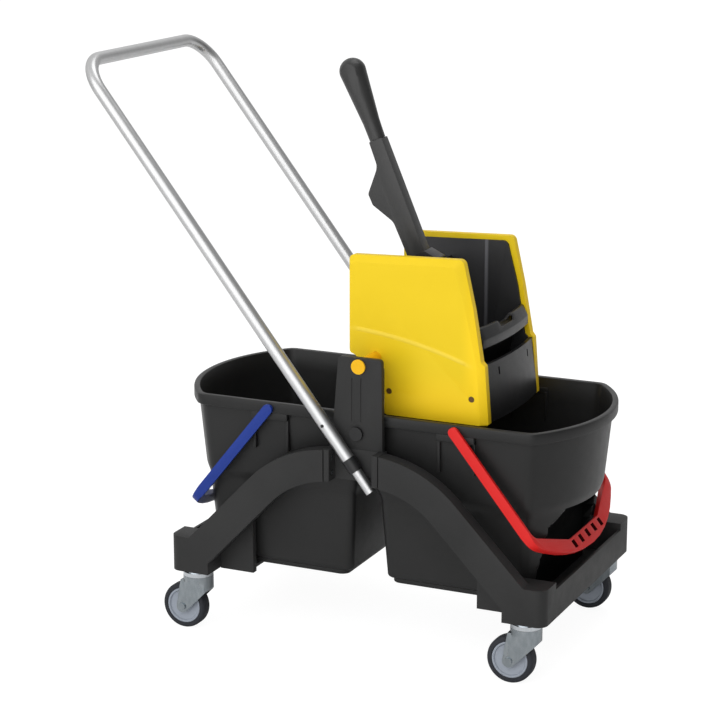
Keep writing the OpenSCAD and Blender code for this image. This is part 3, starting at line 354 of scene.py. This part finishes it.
def sharp_edges(bm, limit):
    found = []
    for e in bm.edges:
        if len(e.link_faces) == 2 and e.calc_face_angle() > math.radians(limit):
            found.append(e)
    return found


def soft(node, width, steps=3, limit=38):
    bm = clean_copy(node)
    bmesh.ops.bevel(bm, geom=sharp_edges(bm, limit), offset=width, affect="EDGES", segments=steps,
                    profile=0.5, material=-1, clamp_overlap=True)
    return piece(bm, node + "_soft", node)


# %% Chassis and covers
for node in ("frame_left", "frame_right"):
    soft(node, 2.8 * MM, 4)
for node in ("centre_bridge", "bracket_near", "bracket_far"):
    soft(node, 2.0 * MM)
for node in ("cover_near", "cover_far"):
    soft(node, 2.4 * MM, 4, 18)

# %% [markdown]
# A bail is a moulded strap with a row of slots in its grip. Light hardly gets into the slots, so the faces of
# the grip that look sideways take a darker shade of the bail's colour.

# %% Bails
GRIP_HALF = 75 * MM
for node, shade in (("bail_left", (0.001, 0.003, 0.014)), ("bail_right", (0.030, 0.001, 0.001))):
    made = soft(node, 1.6 * MM)
    made.data.materials.append(material(node + "_slots", plastic(shade, shade, 0.6, 0.00008, 0.1)))
    for face in made.data.polygons:
        if abs(face.normal.y) > 0.6 and abs(face.center.y) < GRIP_HALF:
            face.material_index = 1

# %% [markdown]
# The apron is a bowed sheet whose facets are all real, so its copy keeps them and gets no bevel.

# %% Lever, press and wringer
soft("lever_arm", 2.6 * MM)
for node in ("lever_grip", "press_plate", "front_jaw"):
    soft(node, 1.2 * MM)
piece(clean_copy("wringer_apron", 0), "wringer_apron_smooth", "wringer_apron", sharp=30)
for node in ("side_plate_near", "side_plate_far"):
    soft(node, 2.6 * MM, 4)

# %% [markdown]
# ## Buckets
# A bucket is a loft: rings of points, one above the other, each a plan of the wall at that height.
# The outside goes up from a small foot to the rim, over it, and the inside comes down again, so the wall has
# its thickness. The skin grows ring by ring: the last edge loop is extruded and set on the next plan.


# %% Plan of a bucket wall
def arc(x, y, r, start, end, count):
    steps = [math.radians(start + (end - start) * k / count) for k in range(count + 1)]
    return [(x + r * math.cos(a), y + r * math.sin(a)) for a in steps]


def plan(x_in, half, x_out, bow, r_in=14, r_out=22):
    centre = x_out - bow
    fx = centre + math.sqrt((bow - r_out) ** 2 - (half - r_out) ** 2)
    fy = half - r_out
    end = math.degrees(math.atan2(fy, fx - centre))
    ring = arc(x_in + r_in, r_in - half, r_in, 180, 270, 8)
    ring += arc(fx, -fy, r_out, 270, 360 - end, 8)
    ring += arc(centre, 0, bow, -end, end, 72)[1:-1]
    ring += arc(fx, fy, r_out, end, 90, 8)
    ring += arc(x_in + r_in, half - r_in, r_in, 90, 180, 8)
    return ring


# %% Plans at each height
def wall_sizes(z):
    t = (RIM_Z - z) / (RIM_Z - BASE)
    return [top + change * t for top, change in (X_IN, HALF, X_OUT, BOW)]


def inset_plan(sizes, inset):
    x_in, half, x_out, bow = sizes
    return plan(x_in + inset, half - inset, x_out - inset, bow - inset)


# %% [markdown]
# The recess is widest at the base. Its sides run up to a knee and then draw in to the top. Round its edge the
# wall goes over into the recess along a soft shoulder.


# %% The tipping recess
HALF_FOOT, HALF_KNEE, HALF_TOP = 136, 118, 88


def tip_recess(x, y, z, back, grow):
    knee = BASE + KNEE_H + grow
    if z > knee:
        half = HALF_KNEE - (HALF_KNEE - HALF_TOP) * (z - knee) / (RECESS_H - KNEE_H) + grow
    else:
        half = HALF_FOOT - (HALF_FOOT - HALF_KNEE) * (z - BASE) / KNEE_H + grow
    depth = min(RECESS_TOP + grow - z, half - abs(y)) / SHOULDER
    t = min(1, max(0, depth))
    return x - max(0, x - back) * t * t * (3 - 2 * t)


# %% Profile of the wall: height and inset of each ring, from the foot up over the rim and down inside
FOOT, RIM = (41, 141.5, 323.5, 224), (1.5, 178.5, 369, 261.5)
LEDGE, LEDGE_H = 262, 24
FOOT_RINGS = [(118, 2), (118.6, 0.6), (120, 0), (126, 0)]
OUTSIDE = [(126, STEP + 5), (126.6, STEP + 2.4), (128.2, STEP + 0.8), (130.5, STEP)]
OUTSIDE += [(z, STEP) for z in range(135, 241, 6)] + [(z, STEP) for z in range(243, LEDGE, 3)]
OUTSIDE += [(LEDGE + LEDGE_H * k / 8, STEP * (1 - (k / 8) ** 2 * (3 - k / 4))) for k in range(1, 9)]
OUTSIDE += [(z, 0) for z in (300, 340, 380, 394, 396.2)]
RIM_RINGS = [(396.8, 8.6), (397, 7.6), (397, 1.6), (397.5, 0.5)]
RIM_RINGS += [(398.6, 0), (412.6, 0), (414.2, 0.5), (415, 1.9)]
INSIDE = [(415, WALL - 2.2), (414.5, WALL - 0.7), (413, WALL), (380, WALL), (300, WALL), (278, WALL)]
INSIDE += [(276.6, WALL + 0.6), (276.2, WALL + STEP - 0.8), (274.5, WALL + STEP)]
INSIDE += [(z, WALL + STEP) for z in range(270, 240, -3)]
INSIDE += [(z, WALL + STEP) for z in range(240, 131, -6)]
INSIDE += [(131.2, WALL + STEP + 0.6), (129.5, WALL + STEP + 3)]
print("rings", len(FOOT_RINGS + OUTSIDE + RIM_RINGS + INSIDE))


# %% Rings of points
def recessed(ring, z, back, grow):
    return [(tip_recess(x, y, z, back, grow), y, z) for x, y in ring]


def bucket_rings():
    rings = [recessed(inset_plan(FOOT, d), z, RECESS, 0) for z, d in FOOT_RINGS]
    rings += [recessed(inset_plan(wall_sizes(z), d), z, RECESS, 0) for z, d in OUTSIDE]
    rings += [[(x, y, z) for x, y in inset_plan(RIM, d)] for z, d in RIM_RINGS]
    rings += [recessed(inset_plan(wall_sizes(z), d), z, RECESS - WALL, WALL) for z, d in INSIDE]
    return rings


# %% Skin over the rings
def loft(rings, flip):
    bm = bmesh.new()
    dots = [bm.verts.new((flip * x * MM, y * MM, z * MM)) for x, y, z in rings[0]]
    edges = [bm.edges.new((a, b)) for a, b in zip(dots, dots[1:] + dots[:1])]
    bmesh.ops.edgeloop_fill(bm, edges=edges)
    for ring in rings[1:]:
        grown = bmesh.ops.extrude_edge_only(bm, edges=edges)["geom"]
        fresh = {v for v in grown if isinstance(v, bmesh.types.BMVert)}
        dots = [next(w for e in v.link_edges if (w := e.other_vert(v)) in fresh) for v in dots]
        for v, (x, y, z) in zip(dots, ring):
            v.co = (flip * x * MM, y * MM, z * MM)
        edges = [e for e in grown if isinstance(e, bmesh.types.BMEdge) and fresh.issuperset(e.verts)]
    bmesh.ops.edgeloop_fill(bm, edges=edges)
    return bm


# %% [markdown]
# The tipping recess is a deep hollow that hardly any light gets into. Its inner faces get a painted shade:
# a near-black finish that is rougher and reflects less than the rest of the bucket.


# %% Both buckets
# Painted shade: near-black, rough and barely reflecting plastic for the faces deep in the recess.
recess_shade_recipe = plastic((0.0018, 0.0022, 0.0022), (0.003, 0.0036, 0.0036), 0.8, 0.00018, 0.04)
recess_shade = material("recess_painted_shade", recess_shade_recipe)


def in_recess(face):
    x, y, z = (c / MM for c in face.calc_center_median())
    wall, bow = (size - STEP for size in wall_sizes(z)[2:])
    skin = wall - bow + math.sqrt(bow * bow - y * y) if abs(y) < bow else 0
    return RECESS - 0.5 < abs(x) < skin - 9 and z < RECESS_TOP - 5


for side, flip in (("left", -1), ("right", 1)):
    bm = loft(bucket_rings(), flip)
    # These faces take the painted shade.
    shaded_faces = [f for f in bm.faces if in_recess(f)]
    for f in shaded_faces:
        f.material_index = 1
    print("recess faces", len(shaded_faces))
    made = piece(bm, "bucket_" + side + "_shell", "bucket_" + side, sharp=40)
    made.data.materials.append(recess_shade)


# %% [markdown]
# Each bucket has a thicker pad under its rim where the bail's stud goes in, and a rib at each end of it.


# %% Pads and ribs
def edges_of(verts):
    return list(dict.fromkeys(e for v in verts for e in v.link_edges))


def block(bm, lo, hi, width):
    made = bmesh.ops.create_cube(bm, size=1.0)["verts"]
    for v in made:
        v.co = Vector([(a + b) / 2 + c * (b - a) for a, b, c in zip(lo, hi, v.co)]) * MM
    bmesh.ops.bevel(bm, geom=edges_of(made), offset=width * MM, affect="EDGES", segments=3, profile=0.5,
                    material=-1, clamp_overlap=True)


PAD_X, PAD_Y, PAD_Z = (134, 200), (164, 177.5), (385, 397.5)
RIB_HALF, RIB_Y, RIB_Z = 2.5, (161, 172.2), (331, 390)
for side, flip in (("left", -1), ("right", 1)):
    bm = bmesh.new()
    for y in (-1, 1):
        xs = sorted(flip * x for x in PAD_X)
        ys = sorted(y * w for w in PAD_Y)
        block(bm, (xs[0], ys[0], PAD_Z[0]), (xs[1], ys[1], PAD_Z[1]), 1.2)
        for x in (PAD_X[0] + RIB_HALF, PAD_X[1] - RIB_HALF):
            xs = sorted((flip * (x - RIB_HALF), flip * (x + RIB_HALF)))
            ys = sorted(y * w for w in RIB_Y)
            block(bm, (xs[0], ys[0], RIB_Z[0]), (xs[1], ys[1], RIB_Z[1]), 1.0)
    piece(bm, "bail_pads_" + side, "bucket_" + side, stands_for=False)

# %% [markdown]
# ## Wheels
# A wheel is turned: one half section, spun round the axle. The centre is a plain disc inside a pale bead, and
# the tyre has round shoulders and a flat tread.


# %% Turned pieces
def turned(section, centre):
    bm = bmesh.new()
    ring = [bm.verts.new(centre + Vector((r, y, 0)) * MM) for r, y in section]
    edges = [bm.edges.new((a, b)) for a, b in zip(ring, ring[1:] + ring[:1])]
    bmesh.ops.spin(bm, geom=ring + edges, cent=centre, axis=(0, 1, 0), angle=2 * math.pi, steps=72,
                   use_merge=True)
    return bm


def both_faces(half):
    return half + [(r, -y) for r, y in reversed(half)]


DISC = [(4.06, -13.5), (8.8, -13.5), (9.7, -13.1), (10, -12), (10.2, -9.2), (11.2, -8.4), (25.2, -7.8)]
DISC += [(26.2, -8.2), (26.8, -9.4), (27.4, -10.7), (28.2, -11.2), (29.8, -11.2), (30.6, -10.8), (31, -10)]
TREAD = [(31.02, -11), (32, -12), (34.6, -12), (36.4, -11.7)]
TREAD += [(38.2, -10.7), (39.4, -9.1), (39.9, -7.2), (40, -5)]
for corner in ("near_left", "near_right", "far_left", "far_right"):
    lo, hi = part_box("wheel_" + corner)
    centre = (lo + hi) / 2
    piece(turned(both_faces(DISC), centre), "wheel_" + corner + "_turned", "wheel_" + corner)
    piece(turned(both_faces(TREAD), centre), "tyre_" + corner + "_turned", "tyre_" + corner)

# %% [markdown]
# ## Push handle
# The handle is one tube bent twice. A circle is drawn out along the first leg, spun round the first bend,
# drawn out along the top, spun again and drawn down the second leg. A smaller circle does the same for the
# bore, and the two skins are bridged at the feet.


# %% Sweep of the bent tube
def drawn(bm, edges, way):
    grown = bmesh.ops.extrude_edge_only(bm, edges=edges)["geom"]
    bmesh.ops.translate(bm, vec=way, verts=[v for v in grown if isinstance(v, bmesh.types.BMVert)])
    return [e for e in grown if isinstance(e, bmesh.types.BMEdge) and e.is_boundary]


def bent(bm, edges, centre):
    ends = bmesh.ops.spin(bm, geom=edges, cent=centre, axis=(1, 0, 0), angle=-math.pi / 2, steps=20)
    return [e for e in ends["geom_last"] if isinstance(e, bmesh.types.BMEdge)]


def handle_skin(bm, radius, y, foot, leg, bend):
    start = Matrix.Translation((0, -y, foot))
    made = bmesh.ops.create_circle(bm, cap_ends=False, segments=48, radius=radius, matrix=start)["verts"]
    first = edges_of(made)
    edges = drawn(bm, first, (0, 0, leg - foot))
    edges = bent(bm, edges, (0, bend - y, leg))
    edges = drawn(bm, edges, (0, 2 * (y - bend), 0))
    edges = bent(bm, edges, (0, y - bend, leg))
    return first, drawn(bm, edges, (0, 0, foot - leg))


# %% The tube and its bore
tube_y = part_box("handle_tube")[1].y
tube_r, tube_wall, bend = 11 * MM, 1.6 * MM, 57 * MM
foot, leg = 36 * MM, 788 * MM
root_x, root_z = 24.3 * MM, 300 * MM
bm = bmesh.new()
outer = handle_skin(bm, tube_r, tube_y - tube_r, foot, leg, bend)
inner = handle_skin(bm, tube_r - tube_wall, tube_y - tube_r, foot, leg, bend)
for a, b in zip(outer, inner):
    bmesh.ops.bridge_loops(bm, edges=a + b)
lean = Matrix.Translation((root_x, 0, root_z)) @ Matrix.Rotation(-LEAN, 4, "Y")
bmesh.ops.transform(bm, matrix=lean, verts=bm.verts)
piece(bm, "handle_tube_bent", "handle_tube")

# %% [markdown]
# ## Ridge on the covers
# A flat bead lies half sunk in each cover along the curve. An oval is drawn out from point to point.


# %% Beads along the curve
RIDGE_START, RIDGE_L, RIDGE_STEPS = 0.004, 0.192, 24
OVAL = Matrix.Rotation(math.pi / 2, 4, "Y") @ Matrix.Diagonal((3.6, 0.8, 1, 1))


def ridge(bm, y):
    alongs = [RIDGE_START + RIDGE_L * k / RIDGE_STEPS for k in range(RIDGE_STEPS + 1)]
    path = [Vector((a - REAR_EDGE, y, ridge_z(a))) for a in alongs]
    oval = Matrix.Translation(path[0]) @ OVAL
    made = bmesh.ops.create_circle(bm, cap_ends=False, segments=20, radius=MM, matrix=oval)["verts"]
    first = edges_of(made)
    last = first
    for a, b in zip(path, path[1:]):
        last = drawn(bm, last, b - a)
    for end in (first, last):
        bmesh.ops.edgeloop_fill(bm, edges=end)


for node in ("cover_near", "cover_far"):
    lo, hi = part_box(node)
    bm = bmesh.new()
    ridge(bm, lo.y if lo.y < 0 else hi.y)
    piece(bm, node + "_ridge", node, sharp=60, stands_for=False)

# %% [markdown]
# ## Locking buttons
# A spring button sits in the hole of each handle leg and locks its length. It is a short dark dome: a
# cylinder whose upper rim is bevelled until it is round.


# %% Spring buttons in the handle
button_up, button_out, button_r, button_h = 123 * MM, 0.4 * MM, 2.8 * MM, 2.4 * MM
bm = bmesh.new()
along = Vector((-math.sin(LEAN), 0, math.cos(LEAN)))
for y in (-1, 1):
    spot = Vector((root_x, y * (tube_y + button_out), root_z)) + along * button_up
    turn = Matrix.Translation(spot) @ Matrix.Rotation(y * math.radians(-90), 4, "X")
    made = bmesh.ops.create_cone(bm, cap_ends=True, segments=32, radius1=button_r, radius2=button_r,
                                 depth=button_h, matrix=turn)["verts"]
    edge = [e for e in edges_of(made) if all(abs(w.co.y) > tube_y for w in e.verts)]
    bmesh.ops.bevel(bm, geom=edge, offset=button_h / 2, affect="EDGES", segments=4, profile=0.5,
                    material=-1)
piece(bm, "handle_buttons", "handle_tube", stands_for=False, slot="black_plastic")

# %% [markdown]
# ## Studio
# A wide white floor, soft light from all round that is brighter to the upper left, one large lamp in front
# and two weak ones, from the upper right and from above.
# To the camera the floor and the world are white paper; the floor keeps a faint shadow. Reflections see the
# dimmer studio light instead, so the tubes keep their dark edges.
# The camera stands where the photographer stood: about 25 degrees round and 14 degrees up.


# %% What the camera sees of the studio
def seen(tree):
    rays = tree.nodes.new("ShaderNodeLightPath")
    a, b = (Wire(tree, rays.outputs[k]) for k in ("Is Camera Ray", "Is Transmission Ray"))
    return a.maths("MAXIMUM", b)


def paper_over(tree, output, lit, kind, strength, share):
    white = tree.nodes.new(kind)
    white.inputs["Color"].default_value = (1, 1, 1, 1)
    white.inputs["Strength"].default_value = strength
    factor = seen(tree) * share
    both = factor.node("ShaderNodeMixShader", {0: factor, 1: lit, 2: Wire(tree, white.outputs[0])})
    tree.links.new(both.socket, output.inputs["Surface"])


# %% Floor and world
bm = bmesh.new()
bmesh.ops.create_grid(bm, x_segments=8, y_segments=8, size=60)
mesh = bpy.data.meshes.new("floor")
bm.to_mesh(mesh)
bm.free()
floor = bpy.data.objects.new("floor", mesh)
bpy.context.scene.collection.objects.link(floor)
paper = material("floor_paper", lambda at: {
    "Base Color": mixed(noise(at, 3, 2), (0.90, 0.90, 0.90), (0.92, 0.92, 0.92)), "Roughness": 0.9,
    "Specular IOR Level": 0.0})
tree = paper.node_tree
paper_over(tree, tree.nodes["Material Output"], Wire(tree, tree.nodes["Principled BSDF"].outputs[0]),
           "ShaderNodeEmission", 1.22, 0.75)
mesh.materials.append(paper)

world = bpy.data.worlds.new("studio")
world.use_nodes = True
tree = world.node_tree
sky = tree.nodes["Background"]
sky.inputs["Color"].default_value = (1, 1, 1, 1)
look = Wire(tree, tree.nodes.new("ShaderNodeTexCoord").outputs["Generated"])
height = axis(look, "Z") * 0.55 - axis(look, "X") * 0.5 - axis(look, "Y") * 0.25
bright = 0.12 + 0.75 * ramp(height, -0.35, 0.75) + 0.4 * ramp(axis(look, "Y"), 0.5, 0.95)
tree.links.new(bright.socket, sky.inputs["Strength"])
paper_over(tree, tree.nodes["World Output"], Wire(tree, sky.outputs[0]), "ShaderNodeBackground", 1.0, 1.0)
bpy.context.scene.world = world


# %% Lamps
def lamp(name, place, aim, size, power):
    light = bpy.data.lights.new(name, "AREA")
    light.shape = "RECTANGLE"
    light.size, light.size_y = size
    light.energy = power
    made = bpy.data.objects.new(name, light)
    made.location = place
    made.rotation_euler = (Vector(aim) - Vector(place)).to_track_quat("-Z", "Y").to_euler()
    bpy.context.scene.collection.objects.link(made)


lamp("key", (-0.2, -4.2, 2.0), (0, 0, 0.4), (6.0, 4.5), 114)
lamp("fill", (1.7, -2.4, 2.7), (0.1, 0, 0.5), (1.6, 1.6), 4)
lamp("top", (0.2, 0.5, 3.0), (0.1, 0, 0.4), (1.6, 1.6), 14)
print("studio ready")

# %% Camera
AIM, DISTANCE = Vector((-0.08192, 0, 0.45544)), 3.87457
az, el = math.radians(24.74), math.radians(14.32)
back = Vector((math.sin(az) * math.cos(el), -math.cos(az) * math.cos(el), math.sin(el)))
lens = bpy.data.cameras.new("camera")
lens.sensor_width = 36
lens.lens = 113.17
camera = bpy.data.objects.new("camera", lens)
camera.location = AIM + back * DISTANCE
camera.rotation_euler = (-back).to_track_quat("-Z", "Y").to_euler()
bpy.context.scene.collection.objects.link(camera)
bpy.context.scene.camera = camera
bpy.context.scene.view_settings.view_transform = "Standard"
